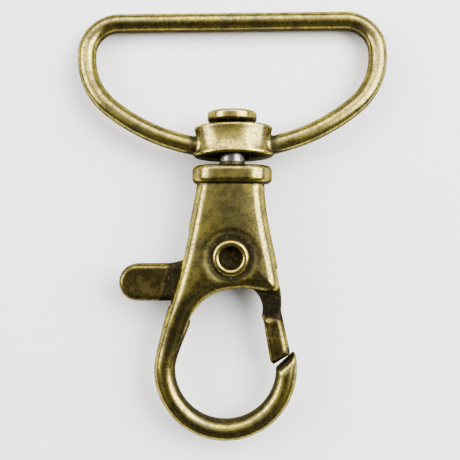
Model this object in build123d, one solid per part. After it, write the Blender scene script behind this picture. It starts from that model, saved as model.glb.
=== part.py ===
from build123d import *
import math
import os

# Swivel trigger snap with a D-shaped strap ring, lying flat on its back.
# Millimetres. X runs across the strap, Y from the hook towards the strap bar, Z up.
# Everything is drawn round the gate pivot at (0, 0), with Z = 0 on the middle plane of
# the hook, and is moved to the floor at the end.

# driving dimensions
STRAP_INSIDE = 38.7        # clear width inside the ring, for 38 mm webbing
WIRE_D = 2.6               # round section of the strap ring
BAR_Y = 33.65              # centre line of the strap bar, from the gate pivot
SWIVEL_X = 0.2             # swivel axis, from the gate pivot
BOSS_Y = 16.0              # middle of the swivel boss
SHANK_D = 3.6              # swivel rivet shank
BODY_T = 5.8               # thickness of the hook body
SLOT_W = 2.7               # slot for the gate lever, through the middle of the body
EYE_R = 8.5                # centre line radius of the hook
EYE_X, EYE_Y = -0.72, -15.58
HOOK_D = 2.95              # width of the hook's rounded section
FLOOR_Z = -3.62            # the boss rests here, under the middle plane

# strap ring
WIRE_R = WIRE_D / 2
RING_HALF = STRAP_INSIDE / 2 + WIRE_R
BAR_CORNER_R = 4.6
SIDE_R = 9.5               # bend from the straight side into the belly of the D
BELLY_R = 27.0
BELLY_LOW_Y = 15.0
BOSS_HALF_W = 5.6
BOSS_HALF_T = 3.35
BOSS_WAIST_W = 5.2
BOSS_WAIST_T = 3.1
BOSS_H = 4.25
BOSS_BORE_D = 4.4
BOSS_EDGE_R = 0.4
# in its loose bore the ring sits a little askew, and rocks until its bar touches the floor
RING_SLIP_X = 0.2
RING_YAW = 0.7
RING_LEAN = math.degrees(math.asin((-FLOOR_Z - WIRE_R) / (BAR_Y - BOSS_Y)))

# swivel rivet
HEAD_D = 6.9
HEAD_T = 1.5
HEAD_BOTTOM_Y = 18.72
HEAD_EDGE_R = 0.48
TAIL_D = 4.5
TAIL_TOP_Y = 8.9
TAIL_T = 1.1

# hook body
COLLAR_BOTTOM_Y = 10.15
COLLAR_TOP_Y = 12.7
COLLAR_HALF_W = 5.55
COLLAR_HALF_T = 3.55
COLLAR_EDGE_R = 0.75
BORE_D = SHANK_D + 0.1
CAVITY_D = TAIL_D + 0.2
BODY_EDGE_R = 1.7
THROAT_EDGE_R = 1.2
DIMPLE_R = 3.4
DIMPLE_DEPTH = 0.35
HOOK_T = 3.2
TIP_CUT = (7.42, -14.6)
TIP_CUT_ANGLE = 39.3

# gate lever
LEVER_T = 2.5
GATE_T = 3.0
HUB_R = 3.3
HUB_BORE_R = 1.66
POCKET_R = 2.75
POCKET_T = 1.1
TAB_LEFT_X = -15.5
TAB_TOP_Y = -0.85
TAB_BOTTOM_Y = -6.05
TAB_EDGE_R = 0.6

# pivot rivet
PIN_R = 1.6
PIN_RIM_R = 2.5
PIN_RIM_T = 0.75
PIN_MOUTH_R = 1.55
PIN_HOLE_R = 1.2
PIN_HOLE_DEPTH = 4.8

# gate spring
SPRING_WIRE_R = 0.2
SPRING_R = 2.25
SPRING_PITCH = 0.43
SPRING_TURNS = 1.3


def slab(outline, thickness):
    """Extrude a closed outline by thickness, centred on the middle plane."""
    return Pos(0, 0, -thickness / 2) * extrude(outline, thickness, dir=(0, 0, 1))


def upright(radius, y_low, height, x=SWIVEL_X):
    """A cylinder standing along the swivel axis from y_low."""
    return Pos(x, y_low + height / 2, 0) * Rot(X=90) * Cylinder(radius, height)


def round_ended_prism(half_w, half_t, y_low, height):
    """A post along the swivel axis with flat sides and half-round ends."""
    plane = Plane(origin=(SWIVEL_X, y_low, 0), x_dir=(1, 0, 0), z_dir=(0, 1, 0))
    return extrude(plane * SlotOverall(2 * half_w, 2 * half_t), height, dir=(0, 1, 0))


def turn_edges(solid, y):
    """Edges of a solid that lie in the plane at height y on the swivel axis."""
    return [e for e in solid.edges() if abs(e.bounding_box().min.Y - y) < 1e-3
            and abs(e.bounding_box().max.Y - y) < 1e-3]


def build_strap_ring():
    """Round wire D ring cast in one piece with its swivel boss."""
    x0 = SWIVEL_X
    right = x0 + RING_HALF
    bar_end = right - BAR_CORNER_R
    side_top = BAR_Y - BAR_CORNER_R
    half_bar = Line((x0, BAR_Y), (bar_end, BAR_Y))
    corner = CenterArc((bar_end, side_top), BAR_CORNER_R, 90, -90)
    belly_y = BELLY_LOW_Y + BELLY_R
    side_x = right - SIDE_R
    side_y = belly_y - math.sqrt((BELLY_R - SIDE_R) ** 2 - (side_x - x0) ** 2)
    turn = math.degrees(math.atan2(belly_y - side_y, side_x - x0))
    side = Line((right, side_top), (right, side_y))
    bend = CenterArc((side_x, side_y), SIDE_R, 0, -turn)
    belly = CenterArc((x0, belly_y), BELLY_R, -turn, turn - 90)
    half = Wire([half_bar, corner, side, bend, belly])
    section = Plane(origin=(x0, BAR_Y, 0), z_dir=(1, 0, 0)) * Circle(WIRE_R)
    limb = sweep(section, path=half)
    wire = limb + mirror(limb, about=Plane(origin=(x0, 0, 0), z_dir=(1, 0, 0)))

    sections = []
    for step, w, t in ((-0.5, BOSS_HALF_W, BOSS_HALF_T), (0, BOSS_WAIST_W, BOSS_WAIST_T),
                       (0.5, BOSS_HALF_W, BOSS_HALF_T)):
        plane = Plane(origin=(x0, BOSS_Y + step * BOSS_H, 0), x_dir=(1, 0, 0), z_dir=(0, 1, 0))
        sections.append(plane * Ellipse(w, t))
    boss = loft(sections)
    rims = turn_edges(boss, BOSS_Y - BOSS_H / 2) + turn_edges(boss, BOSS_Y + BOSS_H / 2)
    boss = fillet(rims, BOSS_EDGE_R)
    ring = wire + boss - upright(BOSS_BORE_D / 2, BOSS_Y - 4, 8)
    centred = Pos(-x0, -BOSS_Y, 0) * ring
    return Pos(x0 + RING_SLIP_X, BOSS_Y, 0) * Rot(X=-RING_LEAN) * Rot(Z=RING_YAW) * centred


def build_swivel_rivet():
    """Headed rivet: head inside the ring, tail upset inside the hook body."""
    head = upright(HEAD_D / 2, HEAD_BOTTOM_Y, HEAD_T)
    head = fillet(turn_edges(head, HEAD_BOTTOM_Y + HEAD_T), HEAD_EDGE_R)
    head = fillet(turn_edges(head, HEAD_BOTTOM_Y), 0.3)
    shank = upright(SHANK_D / 2, TAIL_TOP_Y - 0.5, HEAD_BOTTOM_Y - TAIL_TOP_Y + 1)
    tail = upright(TAIL_D / 2, TAIL_TOP_Y - TAIL_T, TAIL_T)
    tail = fillet(turn_edges(tail, TAIL_TOP_Y - TAIL_T), 0.35)
    return head + shank + tail


def body_outline():
    """Side view of the hook body from the collar to the root of the hook."""
    left = Spline((-4.55, 10.4), (-5.35, 6.4), (-6.66, 0.1), (-8.42, -6.3))
    root = Line((-8.42, -6.3), (-4.35, -6.9))
    throat = Spline((-4.35, -6.9), (-2.7, -5.45), (-0.7, -4.65), (1.5, -4.4), (3.6, -4.65),
                    (5.3, -5.0))
    lobe = Spline((5.3, -5.0), (6.45, -4.75), (6.82, -3.75), tangents=[(1, -0.16), (-0.1, 1)])
    right = Spline((6.82, -3.75), (6.2, 0.1), (5.4, 3.9), (4.85, 7.4), (4.7, 10.4))
    top = Line((4.7, 10.4), (-4.55, 10.4))
    return make_face(Wire([left, root, throat, lobe, right, top]))


def limb_section(x, y, tilt, width, depth):
    """Oval section of the limb that runs down from the body into the hook."""
    plane = Plane(origin=(x, y, 0), x_dir=(math.cos(math.radians(tilt)),
                  math.sin(math.radians(tilt)), 0),
                  z_dir=(math.sin(math.radians(tilt)), -math.cos(math.radians(tilt)), 0))
    return plane * Ellipse(width / 2, depth / 2)


def build_hook_body():
    """Die-cast body: collar, tapering slotted body, hook."""
    body = slab(body_outline(), BODY_T)
    rims = [e for e in body.edges() if abs(abs(e.center().Z) - BODY_T / 2) < 1e-3
            and e.center().Y < 10.3]
    side = [e for e in rims if abs(e.center().X) > 4 and e.center().Y > -6]
    throat = [e for e in rims if abs(e.center().X) < 4 and e.center().Y > -6]
    body = fillet(side + throat, THROAT_EDGE_R + 0.3)

    limb = loft([
        limb_section(-5.6, -3.6, -14, 4.9, 5.2),
        limb_section(-6.45, -6.7, -14, 4.3, 4.9),
        limb_section(-7.55, -9.6, -15, 3.6, 4.1),
        limb_section(-8.55, -12.5, -10, 3.1, 3.45),
        limb_section(EYE_X - EYE_R, EYE_Y, 0, HOOK_D - 0.05, HOOK_T),
    ])
    arc = CenterArc((EYE_X, EYE_Y), EYE_R, 180, 200)
    start = Plane(origin=(EYE_X - EYE_R, EYE_Y, 0), x_dir=(1, 0, 0), z_dir=(0, -1, 0))
    hook = sweep(start * Ellipse((HOOK_D - 0.05) / 2, HOOK_T / 2), path=Wire([arc]))
    cut = Pos(*TIP_CUT) * Rot(Z=TIP_CUT_ANGLE) * Pos(0, 5, 0) * Box(14, 10, 8)
    hook = hook - (cut & (Pos(11, -10, 0) * Box(12, 12, 8)))

    collar = round_ended_prism(COLLAR_HALF_W, COLLAR_HALF_T, COLLAR_BOTTOM_Y,
                               COLLAR_TOP_Y - COLLAR_BOTTOM_Y)
    collar = fillet(turn_edges(collar, COLLAR_TOP_Y) + turn_edges(collar, COLLAR_BOTTOM_Y),
                    COLLAR_EDGE_R)
    casting = body + limb + hook + collar

    # slot through the middle plane for the lever, wide enough for its whole swing
    slot_outline = Polyline((-12, 2.9), (-6.9, 2.9), (-4.2, 4.35), (4.1, 4.35), (4.6, 2.0),
                            (5.2, -1.2), (8.4, -2.6), (9.0, -9.5), (-5.3, -9.5), (-7.2, -6.75),
                            (-12, -6.75), close=True)
    casting = casting - slab(make_face(slot_outline), SLOT_W)
    # spring pocket, rivet cavity, swivel bore
    casting = casting - upright(BORE_D / 2, 7, 8)
    casting = casting - upright(CAVITY_D / 2, 4.0, TAIL_TOP_Y + 0.05 - 4.0)
    # holes and shallow dimples for the pivot rivet
    casting = casting - Cylinder(PIN_R, 12)
    for side_z in (-1, 1):
        dimple = Pos(0, 0, side_z * (BODY_T / 2 + 1 - DIMPLE_DEPTH)) * Cylinder(DIMPLE_R, 2)
        casting = casting - dimple
    return casting


def build_gate_lever():
    """One-piece lever: thumb tab, hub on the pivot, tongue and gate bar."""
    half = (TAB_TOP_Y - TAB_BOTTOM_Y) / 2
    tab_y = TAB_BOTTOM_Y + half
    thumb = Pos((TAB_LEFT_X + half - 7.2) / 2, tab_y) * Rectangle(-7.2 - TAB_LEFT_X - half, 2 * half)
    thumb = slab(make_face((thumb + Pos(TAB_LEFT_X + half, tab_y) * Circle(half)).wire()), LEVER_T)
    rim = [e for e in thumb.edges() if abs(abs(e.center().Z) - LEVER_T / 2) < 1e-3
           and e.center().X < -7.3]
    thumb = fillet(rim, TAB_EDGE_R)
    arm = Polyline((-7.8, TAB_TOP_Y - 0.1), (-6.6, -0.3), (-2.9, 1.6), (-1.0, -3.2),
                   (-7.8, TAB_BOTTOM_Y + 0.1), close=True)
    tongue = Polyline((0.5, -3.2), (2.6, -4.2), (4.4, -6.3), (4.45, -8.6), (6.9, -8.2),
                      (6.93, -4.6), (6.0, -2.7), (3.0, 1.0), close=True)
    flat = make_face(arm) + make_face(tongue) + Circle(HUB_R)
    plate = thumb + slab(flat, LEVER_T)

    bar = Polyline((4.42, -8.0), (4.75, -8.35), (6.98, -7.2), (8.24, -13.2), (8.05, -13.55),
                   (5.95, -14.88), (5.47, -14.5), close=True)
    gate = slab(make_face(bar), GATE_T)
    long_edges = [e for e in gate.edges() if abs(abs(e.center().Z) - GATE_T / 2) < 1e-3
                  and e.length > 3]
    gate = fillet(long_edges, 0.9)
    lever = plate + gate
    lever = lever - Cylinder(HUB_BORE_R, 12)
    # ring pocket that holds the spring coil
    pocket = Cylinder(POCKET_R, POCKET_T) - Cylinder(HUB_BORE_R + 0.2, POCKET_T)
    lever = lever - Pos(0, 0, LEVER_T / 2 - POCKET_T / 2) * pocket
    return lever


def build_pivot_rivet():
    """Semi-tubular rivet across the body, rolled rim in front, pressed flush behind."""
    length = BODY_T
    front_z = BODY_T / 2 - DIMPLE_DEPTH
    shank = Cylinder(PIN_R, length - 2 * DIMPLE_DEPTH)
    rim = Pos(0, 0, front_z + PIN_RIM_T / 2) * Cylinder(PIN_RIM_R, PIN_RIM_T)
    rim = fillet([e for e in rim.edges() if e.center().Z > front_z + 0.1
                  and e.geom_type == GeomType.CIRCLE], 0.45)
    tail = Pos(0, 0, -front_z - PIN_RIM_T / 2 + 0.1) * Cylinder(PIN_RIM_R, PIN_RIM_T - 0.2)
    tail = fillet([e for e in tail.edges() if e.center().Z < -front_z - 0.3
                   and e.geom_type == GeomType.CIRCLE], 0.4)
    rivet = shank + rim + tail
    hole = Pos(0, 0, front_z + PIN_RIM_T - PIN_HOLE_DEPTH / 2) * Cylinder(PIN_HOLE_R, PIN_HOLE_DEPTH)
    mouth = Pos(0, 0, front_z + PIN_RIM_T - 0.3) * Cone(PIN_HOLE_R, PIN_MOUTH_R, 0.6)
    return rivet - hole - mouth


def build_gate_spring():
    """Torsion spring wound round the hub, one leg on the lever, one on the body."""
    base_z = LEVER_T / 2 - POCKET_T + SPRING_WIRE_R + 0.03
    coil_path = Helix(SPRING_PITCH, SPRING_PITCH * SPRING_TURNS, SPRING_R)
    start = Plane(origin=coil_path @ 0, z_dir=coil_path % 0)
    return Pos(0, 0, base_z) * sweep(start * Circle(SPRING_WIRE_R), path=coil_path)


pieces = {
    "strap_ring": build_strap_ring(),
    "swivel_rivet": build_swivel_rivet(),
    "hook_body": build_hook_body(),
    "gate_lever": build_gate_lever(),
    "pivot_rivet": build_pivot_rivet(),
    "gate_spring": build_gate_spring(),
}

whole = Compound(children=[Compound(p.solids()) for p in pieces.values()]).bounding_box()
shift = Pos(-(whole.min.X + whole.max.X) / 2, -(whole.min.Y + whole.max.Y) / 2, -whole.min.Z)

os.makedirs("parts", exist_ok=True)
for name, piece in pieces.items():
    placed = shift * piece
    placed.label = name
    export_step(placed, os.path.join("parts", name + ".step"))
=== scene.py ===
"""Swivel trigger snap with a strap ring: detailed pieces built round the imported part."""
import math

import bpy
import numpy as np
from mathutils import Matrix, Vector


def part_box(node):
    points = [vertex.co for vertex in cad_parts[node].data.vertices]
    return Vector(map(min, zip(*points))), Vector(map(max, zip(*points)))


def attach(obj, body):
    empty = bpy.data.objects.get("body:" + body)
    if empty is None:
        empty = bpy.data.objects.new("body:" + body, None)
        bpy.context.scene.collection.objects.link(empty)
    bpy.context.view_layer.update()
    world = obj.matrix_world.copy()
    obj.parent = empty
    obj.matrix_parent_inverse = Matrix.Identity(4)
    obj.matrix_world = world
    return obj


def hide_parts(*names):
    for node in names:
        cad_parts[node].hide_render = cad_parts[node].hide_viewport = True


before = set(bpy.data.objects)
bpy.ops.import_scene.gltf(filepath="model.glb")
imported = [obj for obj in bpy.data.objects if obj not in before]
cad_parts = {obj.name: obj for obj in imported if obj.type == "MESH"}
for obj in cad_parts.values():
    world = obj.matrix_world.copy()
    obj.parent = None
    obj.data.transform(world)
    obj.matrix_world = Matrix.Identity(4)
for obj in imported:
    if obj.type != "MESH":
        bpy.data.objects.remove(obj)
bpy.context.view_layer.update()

# The pieces are drawn in millimetres round the gate pivot, with z = 0 on the middle plane.
pin_low, pin_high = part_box("pivot_rivet")
hook_low, hook_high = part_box("hook_body")
ORIGIN = np.array([(pin_low.x + pin_high.x) / 2, (pin_low.y + pin_high.y) / 2,
                   (hook_low.z + hook_high.z) / 2]) * 1000

SWIVEL_X = 0.2
WIRE_R = 1.3
BAR_Y = 33.65
RING_HALF = 20.65
BAR_CORNER_R = 4.6
SIDE_R = 9.5
BELLY_R = 27.0
BELLY_LOW_Y = 15.0
BOSS_Y = 16.0
BOSS_HALF_H = 2.125
FLOOR_Z = -3.62
RING_LEAN = math.asin((-FLOOR_Z - WIRE_R) / (BAR_Y - BOSS_Y))
RING_SLIP_X = 0.2
RING_YAW = math.radians(0.7)
EYE_X, EYE_Y = -0.72, -15.58
EYE_IN, EYE_OUT = 7.03, 9.97
BODY_HALF_T = 2.9
HOOK_HALF_T = 1.6
SLOT_HALF_W = 1.35
GRID = 0.14

# hook body
TIP_SLANT = 0.35
TIP_X, TIP_Y = 0.67, 0.742
DISH_DEPTH = 0.3
FACE_CROWN = 0.5
CROWN_SPAN = 4.2
BODY_RIM_R = 1.7
HOOK_RIM_R = 1.46
BODY_TOP_Y = 11.5
COLLAR_STRAIGHT = 2.0
COLLAR_END_R = 3.55
COLLAR_LOW_Y, COLLAR_TOP_Y = 10.15, 12.7
COLLAR_RIM_R = 0.75
PIN_BORE_R = 1.6
SHANK_BORE_R = 1.85
SHANK_BORE_LOW_Y = 7.0
TAIL_ROOM_R = 2.35
TAIL_ROOM_Y, TAIL_ROOM_HALF_H = 6.475, 2.475

# ring boss
BOSS_HALF_W = 5.6
BOSS_HALF_T = 3.35
BOSS_RIM_R = 0.45
BOSS_WAIST = 0.085
BOSS_BORE_R = 2.2
BOSS_BORE_HALF_H = 3.5

# swivel rivet
HEAD_R = 3.45
HEAD_LOW_Y, HEAD_TOP_Y = 18.72, 20.22
HEAD_RIM_R = 0.48
SHANK_R = 1.8
SHANK_LOW_Y, SHANK_TOP_Y = 8.4, 19.5
TAIL_R = 2.25
TAIL_LOW_Y, TAIL_TOP_Y = 7.8, 8.9

# pivot rivet
ROLL_RING_R = 2.0
ROLL_R = 0.5
ROLL_Z = 2.8
TUBE_R = 1.58
TUBE_HALF_H = 2.75
CLENCH_R = 2.5
CLENCH_LOW_Z, CLENCH_TOP_Z = -3.1, -2.52
SKIRT_R = 2.35
SKIRT_LOW_Z = 2.5
HOLLOW_R = 1.22
HOLLOW_FLARE = 0.3
HOLLOW_FLOOR_Z = 1.0

# gate lever
LEVER_HALF_T = 1.25
TAB_RIM_R = 0.8
ARM_RIM_R = 0.25
TONGUE_HALF_T = 1.1
TONGUE_RIM_R = 0.3
HUB_R = 3.3
HUB_BORE_R = 1.66
GATE_HALF_T = 1.5
GATE_RIM_R = 1.1
POCKET_R = 2.3
POCKET_HALF_W = 0.45
POCKET_FLOOR_Z = 0.15

# gate spring
COIL_R = 2.25
COIL_LOW_Z = 0.38
COIL_PITCH = 0.43
COIL_TURNS = 1.3
COIL_STEPS = 60
SPRING_WIRE_R = 0.2


# ---------------------------------------------------------------- distance functions

def smin(a, b, k):
    """Union of two shapes with a fillet of about k."""
    h = np.maximum(k - np.abs(a - b), 0) / k
    return np.minimum(a, b) - h * h * k / 4


def smax(a, b, k):
    """Intersection, or a cut when b is negated, with an edge softened by k."""
    return -smin(-a, -b, k)


def smooth_step(low, high, v):
    """0 below low, 1 above high, and a smooth rise between them."""
    t = np.clip((v - low) / (high - low), 0, 1)
    return t * t * (3 - 2 * t)


def fade(low, high, v):
    """1 below low, 0 above high, and a smooth fall between them."""
    return 1 - smooth_step(low, high, v)


def catmull(points, n=7):
    """A smooth line through the points."""
    p = np.array(points, float)
    p = np.vstack([2 * p[0] - p[1], p, 2 * p[-1] - p[-2]])
    t = np.linspace(0, 1, n, endpoint=False)[:, None]
    out = []
    for a, b, c, d in zip(p[:-3], p[1:-2], p[2:-1], p[3:]):
        out.append(b + 0.5 * t * (c - a + t * (2 * a - 5 * b + 4 * c - d
                                               + t * (3 * (b - c) + d - a))))
    out.append(p[-2:-1])
    return np.vstack(out)


def arc(cx, cy, r, start, end, n=40):
    """Points along an arc, with its angles in degrees."""
    a = np.radians(np.linspace(start, end, n))
    return np.stack([cx + r * np.cos(a), cy + r * np.sin(a)], 1)


def line_distance(x, y, pts):
    """Distance to an open or closed line of points in the middle plane."""
    best = np.full(np.broadcast(x, y).shape, 1e9)
    for (ax, ay), (bx, by) in zip(pts[:-1], pts[1:]):
        ex, ey = bx - ax, by - ay
        length = ex * ex + ey * ey
        if length < 1e-12:
            continue
        t = np.clip(((x - ax) * ex + (y - ay) * ey) / length, 0, 1)
        best = np.minimum(best, (x - ax - t * ex) ** 2 + (y - ay - t * ey) ** 2)
    return np.sqrt(best)


def outline_distance(x, y, pts):
    """Signed distance to a closed outline, negative inside."""
    closed = np.vstack([pts, pts[:1]])
    inside = np.zeros(np.broadcast(x, y).shape, bool)
    for (ax, ay), (bx, by) in zip(closed[:-1], closed[1:]):
        if ay != by:
            crosses = ((ay > y) != (by > y)) & (x < (bx - ax) * (y - ay) / (by - ay) + ax)
            inside ^= crosses
    return np.where(inside, -1, 1) * line_distance(x, y, closed)


class Field:
    """A flat distance worked out once on a fine grid, then read between its points."""

    step = 0.08

    def __init__(self, flat, pts):
        self.low = pts.min(0) - 2.6
        count = ((pts.max(0) + 2.6 - self.low) / self.step).astype(int) + 1
        x = self.low[0] + self.step * np.arange(count[0])
        y = self.low[1] + self.step * np.arange(count[1])
        self.v = flat(x[:, None], y[None, :], pts)

    def __call__(self, x, y):
        x, y = np.broadcast_arrays(x, y)
        u = np.clip((x - self.low[0]) / self.step, 0, self.v.shape[0] - 1.001)
        w = np.clip((y - self.low[1]) / self.step, 0, self.v.shape[1] - 1.001)
        i, j = u.astype(int), w.astype(int)
        u, w = u - i, w - j
        return ((self.v[i, j] * (1 - w) + self.v[i, j + 1] * w) * (1 - u)
                + (self.v[i + 1, j] * (1 - w) + self.v[i + 1, j + 1] * w) * u)


def slab(d2, z, half, r):
    """Plate of a flat outline, with rims rounded by r."""
    a = d2 + r
    b = np.abs(z) - (half - r)
    return np.hypot(np.maximum(a, 0), np.maximum(b, 0)) + np.minimum(np.maximum(a, b), 0) - r


def oval(x, z, half_w, half_t):
    """Distance to an upright oval post."""
    k0 = np.sqrt((x / half_w) ** 2 + (z / half_t) ** 2) + 1e-9
    k1 = np.sqrt((x / half_w ** 2) ** 2 + (z / half_t ** 2) ** 2) + 1e-9
    return k0 * (k0 - 1) / k1


def capped(d, y, low, high, r):
    """A post cut off at two heights, with rims rounded by r."""
    a = d + r
    b = np.abs(y - (low + high) / 2) - ((high - low) / 2 - r)
    return np.hypot(np.maximum(a, 0), np.maximum(b, 0)) + np.minimum(np.maximum(a, b), 0) - r


# ---------------------------------------------------------------- shapes of the pieces

HOOK_LINE = np.vstack([
    catmull([(4.6, 15.5), (4.65, 10.8), (4.85, 7.4), (5.4, 3.9), (6.2, 0.1), (6.74, -2.9), (6.82, -3.9),
             (6.55, -4.62), (5.95, -4.95), (5.1, -4.92), (3.6, -4.62), (1.5, -4.4),
             (-0.7, -4.65), (-2.7, -5.45), (-4.25, -6.8), (-5.35, -8.6), (-6.2, -10.7),
             (-6.95, -12.6), (-7.5, -14.2)]),
    arc(EYE_X, EYE_Y, EYE_IN, 178, 359, 60),
    np.array([(8.75, -13.5), (8.98, -13.62)]),
    arc(EYE_X, EYE_Y, EYE_OUT, 369.5, 178, 80),
    catmull([(-10.55, -14.2), (-10.15, -12.4), (-9.32, -9.1), (-8.45, -6.2), (-6.66, 0.1),
             (-5.35, 6.4), (-4.6, 10.8), (-4.5, 15.5)]),
])
HOOK_FLAT = Field(outline_distance, HOOK_LINE)
SLOT_LINE = np.array([(-12, 2.9), (-6.9, 2.9), (-4.2, 4.35), (4.1, 4.35), (4.6, 2.0),
                      (5.2, -1.2), (8.4, -2.6), (9.0, -9.5), (-5.3, -9.5), (-7.2, -6.75),
                      (-12, -6.75)], float)
SLOT_FLAT = Field(outline_distance, SLOT_LINE)


def hook_body(x, y, z):
    """The casting: collar, slotted body and round hook, with the bores for both rivets."""
    # the tip's end face slants, so its lower half reaches further towards the gate
    reach = TIP_SLANT * np.clip(0.9 - z, 0, HOOK_HALF_T) / HOOK_HALF_T
    reach = reach * smooth_step(-16.5, -15.0, y) * (x > 4.5) * (y < -12)
    flat = HOOK_FLAT(x + 0.12 * reach, y - 0.99 * reach)
    around = np.hypot(x, y)
    limb = smooth_step(-4.5, -13.5, y)
    half = BODY_HALF_T + (HOOK_HALF_T - BODY_HALF_T) * limb
    half = half - DISH_DEPTH * fade(2.3, 4.3, around)
    half = half - FACE_CROWN * (1 - limb) * np.clip(1 + flat / CROWN_SPAN, 0, 1) ** 2
    r = BODY_RIM_R + (HOOK_RIM_R - BODY_RIM_R) * limb
    d = slab(flat, z, half, r)
    top = np.maximum(d, y - BODY_TOP_Y)
    ends = np.hypot(np.maximum(np.abs(x - SWIVEL_X) - COLLAR_STRAIGHT, 0), z) - COLLAR_END_R
    collar = capped(ends, y, COLLAR_LOW_Y, COLLAR_TOP_Y, COLLAR_RIM_R)
    d = smin(top, collar, 0.12)
    slot = slab(SLOT_FLAT(x, y), z, SLOT_HALF_W, 0.2)
    d = smax(d, -slot, 0.3)
    d = smax(d, PIN_BORE_R - around, 0.15)
    out = np.hypot(x - SWIVEL_X, z)
    d = smax(d, -np.maximum(out - SHANK_BORE_R, SHANK_BORE_LOW_Y - y), 0.2)
    tail_room = np.maximum(out - TAIL_ROOM_R, np.abs(y - TAIL_ROOM_Y) - TAIL_ROOM_HALF_H)
    return smax(d, -tail_room, 0.15)


RING_SIDE_X = RING_HALF - SIDE_R
RING_BELLY_Y = BELLY_LOW_Y + BELLY_R
RING_SIDE_Y = RING_BELLY_Y - math.sqrt((BELLY_R - SIDE_R) ** 2 - RING_SIDE_X ** 2)
RING_TURN = math.degrees(math.atan2(RING_BELLY_Y - RING_SIDE_Y, RING_SIDE_X))
RING_HALF_LINE = np.vstack([
    np.array([(0, BAR_Y)]),
    arc(RING_HALF - BAR_CORNER_R, BAR_Y - BAR_CORNER_R, BAR_CORNER_R, 90, 0, 24),
    arc(RING_SIDE_X, RING_SIDE_Y, SIDE_R, 0, -RING_TURN, 24),
    arc(0, RING_BELLY_Y, BELLY_R, -RING_TURN, -90, 40),
])
RING_LINE = RING_HALF_LINE + [SWIVEL_X, 0]
RING_MIRROR = RING_HALF_LINE * [-1, 1] + [SWIVEL_X, 0]
RING_FLAT = Field(line_distance, np.vstack([RING_LINE, RING_MIRROR[::-1]]))


def ring_straight(x, y, z):
    """The ring before it leans: y runs in the ring's own plane."""
    wire = np.hypot(RING_FLAT(x, y), z) - WIRE_R
    waist = 1 - BOSS_WAIST * (1 - np.clip(np.abs(y - BOSS_Y) / BOSS_HALF_H, 0, 1) ** 2)
    post = oval((x - SWIVEL_X) / waist, z / waist, BOSS_HALF_W, BOSS_HALF_T)
    boss = capped(post, y, BOSS_Y - BOSS_HALF_H, BOSS_Y + BOSS_HALF_H, BOSS_RIM_R)
    d = smin(wire, boss, 0.45)
    bore = np.maximum(np.hypot(x - SWIVEL_X, z) - BOSS_BORE_R,
                      np.abs(y - BOSS_Y) - BOSS_BORE_HALF_H)
    return smax(d, -bore, 0.25)


def turned(a, b, angle):
    """The plane point (a, b) turned by an angle."""
    c, s = math.cos(angle), math.sin(angle)
    return a * c - b * s, a * s + b * c


def strap_ring(x, y, z):
    """The ring where it lies: askew in its loose bore, with its bar on the floor."""
    x, y = x - SWIVEL_X - RING_SLIP_X, y - BOSS_Y
    y, z = turned(y, z, RING_LEAN)
    x, y = turned(x, y, -RING_YAW)
    return ring_straight(x + SWIVEL_X, y + BOSS_Y, z)


def lay_ring(p):
    """Points of the straight ring moved to where the ring lies."""
    x, y = turned(p[:, 0] - SWIVEL_X, p[:, 1] - BOSS_Y, RING_YAW)
    y, z = turned(y, p[:, 2], -RING_LEAN)
    return np.stack([x + SWIVEL_X + RING_SLIP_X, y + BOSS_Y, z], 1)


def swivel_rivet(x, y, z):
    """Headed rivet along the body's long axis, its tail upset inside the body."""
    around = np.hypot(x - SWIVEL_X, z)
    head = capped(around - HEAD_R, y, HEAD_LOW_Y, HEAD_TOP_Y, HEAD_RIM_R)
    shank = capped(around - SHANK_R, y, SHANK_LOW_Y, SHANK_TOP_Y, 0.1)
    tail = capped(around - TAIL_R, y, TAIL_LOW_Y, TAIL_TOP_Y, 0.35)
    return smin(smin(head, shank, 0.15), tail, 0.15)


def pivot_rivet(x, y, z):
    """Semi-tubular rivet: rolled rim and hollow at the front, clenched tail at the back."""
    around = np.hypot(x, y)
    rim = np.hypot(around - ROLL_RING_R, (z - ROLL_Z) * 1.02) - ROLL_R
    tube = np.maximum(around - TUBE_R, np.abs(z) - TUBE_HALF_H)
    tail = capped(around - CLENCH_R, z, CLENCH_LOW_Z, CLENCH_TOP_Z, 0.28)
    skirt = capped(around - SKIRT_R, z, SKIRT_LOW_Z, ROLL_Z, 0.1)
    d = smin(smin(smin(rim, skirt, 0.2), tube, 0.2), tail, 0.15)
    flare = HOLLOW_FLARE * smooth_step(1.9, 3.0, z)
    hollow = np.maximum(around - HOLLOW_R - flare, HOLLOW_FLOOR_Z - z)
    return smax(d, -hollow, 0.2)


LEVER_TAB = np.vstack([arc(-12.9, -3.45, 2.6, 90, 270, 30),
                       np.array([(-4.5, -6.05), (-4.5, -0.85)])])
LEVER_ARM = np.array([(-7.9, -0.95), (-6.9, -0.5), (-2.9, 1.6), (-1.0, -3.2), (-7.9, -6.0)])
LEVER_TONGUE = catmull([(0.5, -3.0), (2.6, -4.1), (3.8, -5.2), (4.45, -6.9), (4.5, -8.8),
                        (6.0, -9.0), (6.95, -7.2), (6.9, -4.6), (6.1, -2.9), (3.0, 1.0)], 6)
LEVER_GATE = np.array([(4.42, -7.95), (4.7, -8.4), (5.1, -8.3), (6.98, -7.25), (8.27, -13.25),
                       (8.05, -13.6), (5.95, -14.9), (5.5, -14.45)])
TAB_FLAT, ARM_FLAT, TONGUE_FLAT, GATE_FLAT = (
    Field(outline_distance, line) for line in (LEVER_TAB, LEVER_ARM, LEVER_TONGUE, LEVER_GATE))


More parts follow.
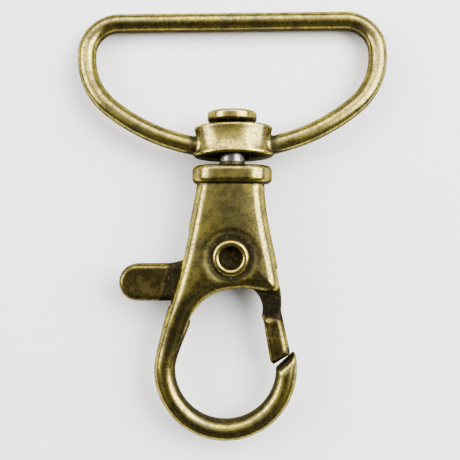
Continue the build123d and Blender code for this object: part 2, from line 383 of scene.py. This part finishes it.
def gate_lever(x, y, z):
    """The lever casting: thumb tab, arm, hub with its spring pocket, tongue and gate bar."""
    tab = slab(TAB_FLAT(x, y), z, LEVER_HALF_T, TAB_RIM_R)
    arm = slab(ARM_FLAT(x, y), z, LEVER_HALF_T, ARM_RIM_R)
    tongue = slab(TONGUE_FLAT(x, y), z, TONGUE_HALF_T, TONGUE_RIM_R)
    around = np.hypot(x, y)
    hub = np.maximum(around - HUB_R, np.abs(z) - LEVER_HALF_T)
    gate = slab(GATE_FLAT(x, y), z, GATE_HALF_T, GATE_RIM_R)
    d = smin(smin(tab, arm, 0.6), smin(hub, tongue, 0.6), 0.4)
    d = smin(d, gate, 0.2)
    d = smax(d, HUB_BORE_R - around, 0.12)
    pocket = np.maximum(np.abs(around - POCKET_R) - POCKET_HALF_W, POCKET_FLOOR_Z - z)
    return smax(d, -pocket, 0.1)


# ---------------------------------------------------------------- meshes

def lattice(low, high, step):
    """Grid lines from low to high, with two cells to spare at each end."""
    return np.arange(low - 2 * step, high + 3 * step, step)


SETTLING_STEPS = 3


def skin(shape, low, high, step):
    """Mesh of a distance function over a box: one point per cell that the surface crosses."""
    axes = [lattice(a, b, step) for a, b in zip(low, high)]
    v = shape(axes[0][:, None, None], axes[1][None, :, None], axes[2][None, None, :])
    v = np.broadcast_to(v, [len(a) for a in axes])
    inside = v < 0
    cells = tuple(n - 1 for n in v.shape)
    corner = {}
    for i in (0, 1):
        for j in (0, 1):
            for k in (0, 1):
                corner[i, j, k] = (slice(i, i + cells[0]), slice(j, j + cells[1]),
                                   slice(k, k + cells[2]))
    count = sum(inside[c].astype(np.int8) for c in corner.values())
    crossed = (count > 0) & (count < 8)
    index = np.full(cells, -1)
    index[crossed] = np.arange(crossed.sum())
    total = np.zeros((crossed.sum(), 3))
    hits = np.zeros(crossed.sum())
    for a in corner:
        for axis in range(3):
            if a[axis]:
                continue
            b = tuple(1 if n == axis else a[n] for n in range(3))
            va, vb = v[corner[a]][crossed], v[corner[b]][crossed]
            cut = (va < 0) != (vb < 0)
            t = np.where(cut, va / np.where(cut, va - vb, 1), 0)
            place = np.tile(np.array(a, float), (len(t), 1))
            place[:, axis] += t
            total += place * cut[:, None]
            hits += cut
    at = np.argwhere(crossed) + total / hits[:, None]
    points = np.stack([axes[n][0] + at[:, n] * step for n in range(3)], 1)
    faces = []
    for axis in range(3):
        u, w = (axis + 1) % 3, (axis + 2) % 3
        first = [slice(1, -1)] * 3
        first[axis] = slice(0, -1)
        after = list(first)
        after[axis] = slice(1, None)
        a, b = inside[tuple(first)], inside[tuple(after)]
        for flip, mask in ((False, a & ~b), (True, ~a & b)):
            edge = np.argwhere(mask)
            edge[:, u] += 1
            edge[:, w] += 1
            ring = []
            for du, dw in ((1, 1), (0, 1), (0, 0), (1, 0)):
                cell = edge.copy()
                cell[:, u] -= du
                cell[:, w] -= dw
                ring.append(index[cell[:, 0], cell[:, 1], cell[:, 2]])
            quad = np.stack(ring, 1)
            faces.append(quad[:, ::-1] if flip else quad)
    faces = np.vstack(faces)
    # a few steps along the slope put every point on the surface itself
    for _ in range(SETTLING_STEPS):
        d, g = slope(shape, points, step * 0.4)
        points = points - np.clip(d, -step, step)[:, None] * g
    return points, faces


def slope(shape, p, h):
    """Distance and outward direction of a shape at some points."""
    x, y, z = p.T
    g = np.stack([shape(x + h, y, z) - shape(x - h, y, z),
                  shape(x, y + h, z) - shape(x, y - h, z),
                  shape(x, y, z + h) - shape(x, y, z - h)], 1)
    g /= np.linalg.norm(g, axis=1)[:, None] + 1e-9
    return shape(x, y, z), g


SHAPES = {"hook_body": hook_body, "strap_ring": strap_ring, "swivel_rivet": swivel_rivet,
          "pivot_rivet": pivot_rivet, "gate_lever": gate_lever}


def occlusion_oxide_and_shade(p, n):
    """How far a point sits in a hollow or close under another piece, 0 to 1, from all the pieces
    together: brown oxide in the hollows plus painted occlusion shade.
    """
    out = np.zeros(len(p))
    for reach, share in ((0.35, 0.4), (0.8, 0.35), (1.6, 0.25)):
        q = p + n * reach
        near = np.full(len(p), 1e9)
        for shape in SHAPES.values():
            near = np.minimum(near, shape(q[:, 0], q[:, 1], q[:, 2]))
        out += share * np.clip(1 - near / reach, 0, 1)
    return out


def lever_oxide_and_shade(x, y, z):
    """Oxide and painted shade on the recessed tongue and at the tab's root, and painted shade on the
    gate's foot beside the tip.
    """
    # tongue and tab root: oxide plus painted shade of the recess
    tongue = (x > 1) * smooth_step(-8.9, -7.9, y + 0.25 * (x - 5.5))
    root = smooth_step(-2.2, -0.7, x + 6.9 - 0.25 * y) * (x < -5)
    # painted shade on the gate's foot beside the tip's gap
    foot = (x > 5) * fade(0.05, 0.4, TIP_Y * y - TIP_X * x + 14.65)
    return np.maximum(np.maximum(tongue * 1.05, root * 1.1), foot * 0.6)


def stain_ring(x, y, z):
    """Patina where the wire meets the boss."""
    away = np.abs(x - SWIVEL_X - RING_SLIP_X)
    root = smooth_step(4.7, 5.2, away) * fade(5.3, 7.2, away)
    return 0.75 * root * fade(1.3, 1.9, np.abs(y - BOSS_Y))


def hook_oxide_and_shade(x, y, z):
    """Oxide round the pivot, and painted shade inside the eye, along the limb's inner wall, under the
    collar and on the tip's end face.
    """
    # painted shade along the inner wall of the limb
    inner = fade(0.05, 0.35, np.abs(HOOK_FLAT(x, y))) * (x < -4) * (x > -8.5)
    inner = 0.6 * inner * smooth_step(-15.5, -12.5, y) * fade(-9.3, -8.6, y)
    # painted shade inside the eye
    eye = fade(7.2, 7.9, np.hypot(x - EYE_X, y - EYE_Y)) * (y < -10)
    inner = np.maximum(inner, 0.6 * eye)
    dish = 0.85 * fade(2.7, 4.5, np.hypot(x, y))
    # painted shadow under the collar
    collar_shadow = 0.5 * fade(0.05, 0.7, np.abs(y - 10.1)) * (y < 10.4)
    # painted shade on the tip's end face, in the gap by the gate
    tip_gap_shade = 0.9 * smooth_step(-0.25, -0.05, TIP_Y * (y + 15.7) - TIP_X * (x - 6.31))
    tip_gap_shade = tip_gap_shade * (x > 5.5) * (y > -16.3) * (y < -12)
    return np.maximum.reduce([inner, dish, collar_shadow, tip_gap_shade])


def pivot_hollow_oxide_and_shade(x, y, z):
    """Oxide and painted shade down in the rivet's hollow, darkest in the deeper part."""
    return 0.75 * (np.hypot(x, y) < 1.75) * fade(2.2, 3.0, z)


def swivel_painted_shade(x, y, z):
    """Painted shade on the lower part of the head and painted shadow where the shank enters the body.
    """
    out = np.hypot(x - SWIVEL_X, z)
    # painted shade on the head's lower rim, facing the body
    head = 0.8 * fade(18.95, 19.4, y) * (y > 18) * (out > 2.4)
    # painted shadow at the shank's foot, in the collar's bore
    foot = 0.9 * fade(13.1, 13.6, y) * (out < 2.1)
    return np.maximum(head, foot)


# oxide left where polishing can't reach, with painted shade under the collar, in the eye, at the tip's
# gap, at the tongue and tab root, round the swivel rivet and in the pivot rivet's hollow
OXIDE_AND_PAINTED_SHADE = {"hook_body": hook_oxide_and_shade, "strap_ring": stain_ring, "swivel_rivet": swivel_painted_shade,
          "pivot_rivet": pivot_hollow_oxide_and_shade, "gate_lever": lever_oxide_and_shade}

SIDE_OXIDE_AND_SHADE = 0.60
LEE_PAINTED_SHADE = 0.7
SHARP_BEND = 2.5


def side_oxide_and_painted_shade(normal):
    """Oxide and painted shade on steep sides, with the painted shade strongest on the sides that face
    the hook end, away from the window light.
    """
    side_and_lee_shade = SIDE_OXIDE_AND_SHADE + LEE_PAINTED_SHADE * smooth_step(0.05, 0.75, -normal[:, 1])
    return side_and_lee_shade * fade(0.0, 0.85, np.abs(normal[:, 2]))


def bare_metal(name, p):
    """Where the plating has worn off: only on the swivel rivet's shank."""
    if name != "swivel_rivet":
        return np.zeros(len(p))
    shank = fade(1.85, 2.1, np.hypot(p[:, 0] - SWIVEL_X, p[:, 2]))
    return shank * fade(17.5, 18.0, p[:, 1])


def bend(shape, p, e=0.3):
    """How sharply a surface curves outwards, per millimetre."""
    x, y, z = p.T
    around = (shape(x + e, y, z) + shape(x - e, y, z) + shape(x, y + e, z)
              + shape(x, y - e, z) + shape(x, y, z + e) + shape(x, y, z - e))
    return (around - 6 * shape(x, y, z)) / e ** 2


def make_piece(name, low, high, body, material, step=GRID, local=None, place=None):
    """Mesh of a shape with its wear and its darkening, oxide plus painted shade, stored at each point,
    riding on a CAD body.

    A piece may be meshed in its own straight position, local, and then moved by place.
    """
    shape = SHAPES[name]
    points, faces = skin(local or shape, low, high, step)
    if place is not None:
        points = place(points)
    _, normal = slope(shape, points, 0.05)
    # darkening stored per point: oxide in the hollows plus painted shade from occlusion and from the
    # per-piece marks
    oxide_and_shade = np.maximum(occlusion_oxide_and_shade(points, normal), OXIDE_AND_PAINTED_SHADE[name](*points.T))
    # steep sides darkened: partly oxide, partly painted shade
    oxide_and_shade = np.clip(oxide_and_shade + side_oxide_and_painted_shade(normal), 0, 1)
    edge = np.clip(bend(shape, points) / SHARP_BEND, 0, 1)
    bare = bare_metal(name, points)
    mesh = bpy.data.meshes.new(name)
    mesh.from_pydata(((points + ORIGIN) / 1000).tolist(), [], faces.tolist())
    for label, values in (("oxide_and_shade", oxide_and_shade), ("edge", edge), ("bare", bare)):
        layer = mesh.attributes.new(label, "FLOAT", "POINT")
        layer.data.foreach_set("value", values.astype(np.float32))
    mesh.shade_smooth()
    obj = bpy.data.objects.new(name + "_cast", mesh)
    bpy.context.scene.collection.objects.link(obj)
    mesh.materials.append(material)
    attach(obj, body)
    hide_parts(name)


# ---------------------------------------------------------------- materials

def node(tree, kind, **settings):
    """A new node with its settings."""
    n = tree.nodes.new(kind)
    for key, value in settings.items():
        setattr(n, key, value)
    return n


def noise(tree, coords, scale, detail, rough):
    """Noise with about scale features to the metre."""
    n = node(tree, "ShaderNodeTexNoise")
    n.inputs["Scale"].default_value = scale
    n.inputs["Detail"].default_value = detail
    n.inputs["Roughness"].default_value = rough
    tree.links.new(coords, n.inputs["Vector"])
    return n.outputs["Fac"]


def ramp(tree, value, low, high, out_low=0.0, out_high=1.0):
    """A value taken smoothly from one range to another."""
    n = node(tree, "ShaderNodeMapRange")
    n.interpolation_type = "SMOOTHSTEP"
    for socket, v in (("From Min", low), ("From Max", high), ("To Min", out_low),
                      ("To Max", out_high)):
        n.inputs[socket].default_value = v
    tree.links.new(value, n.inputs["Value"])
    return n.outputs["Result"]


def maths(tree, kind, a, b):
    """Two values or sockets combined. All but products are held between 0 and 1."""
    n = node(tree, "ShaderNodeMath", operation=kind)
    n.use_clamp = kind != "MULTIPLY"
    for socket, v in zip(n.inputs, (a, b)):
        if isinstance(v, (int, float)):
            socket.default_value = v
        else:
            tree.links.new(v, socket)
    return n.outputs[0]


def blend_colour(tree, factor, a, b):
    """From colour a to colour b as the factor goes from 0 to 1."""
    n = node(tree, "ShaderNodeMix", data_type="RGBA")
    tree.links.new(factor, n.inputs["Factor"])
    for socket, v in ((n.inputs[6], a), (n.inputs[7], b)):
        if isinstance(v, tuple):
            socket.default_value = (*v, 1)
        else:
            tree.links.new(v, socket)
    return n.outputs[2]


GRAZING_TINT = (0.50, 0.46, 0.34, 1)
BARE_STEEL = (0.17, 0.173, 0.17)
GRAIN_HEIGHT = 0.00003


def antique(name, bright, mid, dark, oxide_and_shade, rough, grain=1.0):
    """Electroplated antique brass: brown oxide and painted shade in the hollows and on shaded sides,
    worn pale edges, fine grain.
    """
    m = bpy.data.materials.new(name)
    m.use_nodes = True
    t = m.node_tree
    shader = t.nodes["Principled BSDF"]
    shader.inputs["Specular Tint"].default_value = GRAZING_TINT
    coords = node(t, "ShaderNodeTexCoord").outputs["Object"]
    # darkening attribute: oxide in the hollows plus painted shade
    hollow = node(t, "ShaderNodeAttribute", attribute_name="oxide_and_shade").outputs["Fac"]
    edge = node(t, "ShaderNodeAttribute", attribute_name="edge").outputs["Fac"]
    cloud = noise(t, coords, 240, 3, 0.55)
    blot = noise(t, coords, 800, 4, 0.6)
    speck = noise(t, coords, 2900, 2, 0.5)
    fine = noise(t, coords, 8000, 2, 0.6)
    worn = maths(t, "ADD", ramp(t, edge, 0.35, 1.0, 0, 0.5), ramp(t, cloud, 0.36, 0.66, 0, 0.6))
    worn = maths(t, "SUBTRACT", worn, ramp(t, blot, 0.42, 0.62, 0, 0.2))
    base = blend_colour(t, worn, mid, bright)
    tarnish = maths(t, "ADD", ramp(t, blot, 0.44, 0.63, 0, 0.29 * grain),
                    ramp(t, speck, 0.42, 0.64, 0, 0.52 * grain))
    base = blend_colour(t, tarnish, base, dark)
    uneven = maths(t, "MULTIPLY", noise(t, coords, 900, 3, 0.6), 0.5)
    hollow = maths(t, "SUBTRACT", maths(t, "ADD", hollow, uneven), 0.25)
    # blend to the darkest colour where oxide and painted shade gather
    oxide_and_shade_amount = maths(t, "SUBTRACT", ramp(t, hollow, 0.15, 0.85), ramp(t, speck, 0.54, 0.7, 0, 0.42))
    base = blend_colour(t, oxide_and_shade_amount, base, oxide_and_shade)
    bare = node(t, "ShaderNodeAttribute", attribute_name="bare").outputs["Fac"]
    bare = maths(t, "SUBTRACT", bare, ramp(t, hollow, 0.35, 0.8))
    base = blend_colour(t, bare, base, BARE_STEEL)
    t.links.new(base, shader.inputs["Base Color"])
    t.links.new(ramp(t, oxide_and_shade_amount, 0.2, 1.0, 1.0, 0.88), shader.inputs["Metallic"])
    r = maths(t, "ADD", ramp(t, speck, 0.3, 0.7, rough - 0.06, rough + 0.1),
              ramp(t, hollow, 0.2, 0.7, 0, 0.25))
    t.links.new(r, shader.inputs["Roughness"])
    bump = node(t, "ShaderNodeBump")
    bump.inputs["Strength"].default_value = 0.35 * grain
    bump.inputs["Distance"].default_value = GRAIN_HEIGHT
    height = maths(t, "ADD", maths(t, "MULTIPLY", speck, 0.6), maths(t, "MULTIPLY", fine, 0.4))
    t.links.new(height, bump.inputs["Height"])
    t.links.new(bump.outputs["Normal"], shader.inputs["Normal"])
    return m


brass = antique("antique_brass_cast", bright=(0.47, 0.375, 0.05), mid=(0.26, 0.215, 0.068),
                dark=(0.052, 0.042, 0.019), oxide_and_shade=(0.010, 0.008, 0.005), rough=0.22)
lever_brass = antique("antique_brass_lever", bright=(0.40, 0.315, 0.08), mid=(0.11, 0.086, 0.025),
                      dark=(0.035, 0.027, 0.009), oxide_and_shade=(0.003, 0.0025, 0.002), rough=0.27,
                      grain=1.2)
rivet_brass = antique("rivet_brass", bright=(0.45, 0.36, 0.09), mid=(0.32, 0.255, 0.07),
                      dark=(0.08, 0.062, 0.02), oxide_and_shade=(0.010, 0.008, 0.005), rough=0.2,
                      grain=0.8)

# ---------------------------------------------------------------- the pieces

# the two corners after each name only have to enclose the piece
make_piece("hook_body", (-10.7, -25.6, -3.6), (9.3, 12.8, 3.6), "hook", brass)
make_piece("gate_lever", (-15.6, -15.0, -1.6), (8.4, 3.5, 1.6), "lever",
           lever_brass, GRID * 0.8)
make_piece("pivot_rivet", (-2.6, -2.6, -3.2), (2.6, 2.6, 3.4), "hook",
           rivet_brass, GRID * 0.6)
make_piece("swivel_rivet", (-3.4, 7.7, -3.5), (3.6, 20.7, 3.5), "swivel",
           rivet_brass, GRID * 0.8)
make_piece("strap_ring", (-22.0, 13.5, -3.4), (22.2, 34.9, 3.4), "ring",
           brass, local=ring_straight, place=lay_ring)


def build_spring():
    """The coil of the torsion spring in the lever's pocket."""
    pts = []
    for i in range(COIL_STEPS + 1):
        a = 2 * math.pi * COIL_TURNS * i / COIL_STEPS
        z = COIL_LOW_Z + COIL_PITCH * COIL_TURNS * i / COIL_STEPS
        pts.append((COIL_R * math.cos(a), COIL_R * math.sin(a), z))
    curve = bpy.data.curves.new("gate_spring_wire", "CURVE")
    curve.dimensions = "3D"
    curve.bevel_depth = SPRING_WIRE_R / 1000
    curve.bevel_resolution = 4
    curve.use_fill_caps = True
    spline = curve.splines.new("POLY")
    spline.points.add(len(pts) - 1)
    for point, p in zip(spline.points, pts):
        point.co = (*((np.array(p) + ORIGIN) / 1000), 1)
    obj = bpy.data.objects.new("gate_spring_wire", curve)
    bpy.context.scene.collection.objects.link(obj)
    m = bpy.data.materials.new("spring_steel")
    m.use_nodes = True
    t = m.node_tree
    shader = t.nodes["Principled BSDF"]
    shader.inputs["Metallic"].default_value = 1.0
    shader.inputs["Base Color"].default_value = (0.5, 0.5, 0.49, 1)
    coords = node(t, "ShaderNodeTexCoord").outputs["Object"]
    t.links.new(ramp(t, noise(t, coords, 3000, 3, 0.6), 0.3, 0.7, 0.22, 0.42),
                shader.inputs["Roughness"])
    curve.materials.append(m)
    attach(obj, "hook")
    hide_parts("gate_spring")


build_spring()

# ---------------------------------------------------------------- floor, light, camera

FLOOR_SIZE = 3.0
PALE = (0.88, 0.88, 0.885, 1)
LAMP_TARGET = Vector((0, 0, 0.003))
DARK_PATCH_WAY = (0, -0.35, 0.937)
SKY_COLOUR = (1.0, 0.99, 0.97, 1)
CAMERA_HEIGHT = 0.0944
CAMERA_ASIDE = (-0.0001, 0.00377)
SENSOR_WIDTH = 36
LENS = 50.87

bpy.ops.mesh.primitive_plane_add(size=FLOOR_SIZE, location=(0, 0, 0))
floor = bpy.context.object
floor.name = "floor"
paper = bpy.data.materials.new("pale_floor")
paper.use_nodes = True
matt = paper.node_tree.nodes["Principled BSDF"]
matt.inputs["Base Color"].default_value = PALE
matt.inputs["Roughness"].default_value = 0.9
floor.data.materials.append(paper)


def area_light(name, direction, distance, size, power):
    """An oval lamp some way off in a direction, aimed at the object."""
    light = bpy.data.lights.new(name, "AREA")
    light.shape = "ELLIPSE"
    light.size, light.size_y = size
    light.energy = power
    obj = bpy.data.objects.new(name, light)
    way = Vector(direction).normalized()
    obj.location = LAMP_TARGET + way * distance
    obj.rotation_euler = (-way).to_track_quat("-Z", "Y").to_euler()
    bpy.context.scene.collection.objects.link(obj)


area_light("left_lamp", (-0.80, 0.28, 0.53), 0.5, (0.45, 0.22), 3.8)
area_light("right_lamp", (0.72, 0.28, 0.66), 0.5, (0.50, 0.40), 9.0)
area_light("window", (0.0, 0.70, 0.71), 0.7, (1.0, 0.36), 6.0)


def build_world():
    """Soft room light: brightest from the window's side, with a dark patch overhead."""
    world = bpy.context.scene.world or bpy.data.worlds.new("World")
    bpy.context.scene.world = world
    world.use_nodes = True
    t = world.node_tree
    back = t.nodes["Background"]
    up = node(t, "ShaderNodeSeparateXYZ")
    sky = node(t, "ShaderNodeTexCoord").outputs["Generated"]
    t.links.new(sky, up.inputs[0])
    overhead = node(t, "ShaderNodeVectorMath", operation="DOT_PRODUCT")
    t.links.new(sky, overhead.inputs[0])
    overhead.inputs[1].default_value = DARK_PATCH_WAY
    level = ramp(t, overhead.outputs["Value"], 0.80, 0.96, 1.15, 0.2)
    low = ramp(t, up.outputs["Z"], 0.25, 0.85, 0.33, 1.0)
    side = ramp(t, up.outputs["Y"], -0.6, 0.5, 0.3, 1.3)
    strength = maths(t, "MULTIPLY", maths(t, "MULTIPLY", level, low), side)
    t.links.new(strength, back.inputs["Strength"])
    back.inputs["Color"].default_value = SKY_COLOUR


build_world()

camera = bpy.data.cameras.new("camera")
camera.sensor_width = SENSOR_WIDTH
camera.lens = LENS
camera.clip_start = 0.005
view = bpy.data.objects.new("camera", camera)
view.location = (ORIGIN[0] / 1000 + CAMERA_ASIDE[0], ORIGIN[1] / 1000 + CAMERA_ASIDE[1],
                 CAMERA_HEIGHT)
bpy.context.scene.collection.objects.link(view)
bpy.context.scene.camera = view
